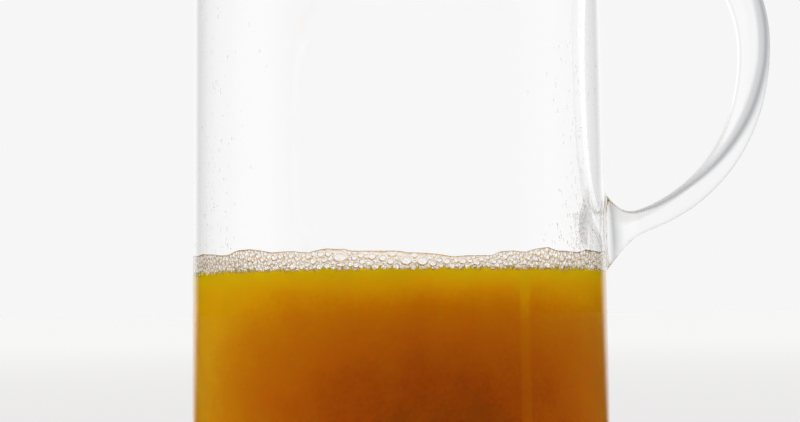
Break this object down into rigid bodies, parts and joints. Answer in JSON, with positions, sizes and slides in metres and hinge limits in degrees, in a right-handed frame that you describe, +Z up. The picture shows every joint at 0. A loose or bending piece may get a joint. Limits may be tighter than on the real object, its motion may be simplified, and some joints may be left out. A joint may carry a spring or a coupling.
{
  "type": "handled glass of orange juice",
  "caption": "Tall straight-sided glass with a drawn glass handle, part filled with orange juice that has a ring of clear froth at the wall.",
  "frame": {"origin": "centre of the base, on the plane it stands on", "axes": "+Z up along the glass, +X towards the handle"},
  "size_m": [0.1424, 0.1, 0.196],
  "materials": {
    "clear_glass": "clear blown glass, fire polished",
    "orange_juice": "wet, cloudy orange-yellow drink",
    "froth": "clear bubbles with thin wet films"
  },
  "bodies": {
    "root": {"glass": "clear_glass", "orange_juice": "orange_juice", "froth": "froth"}
  },
  "joints": []
}
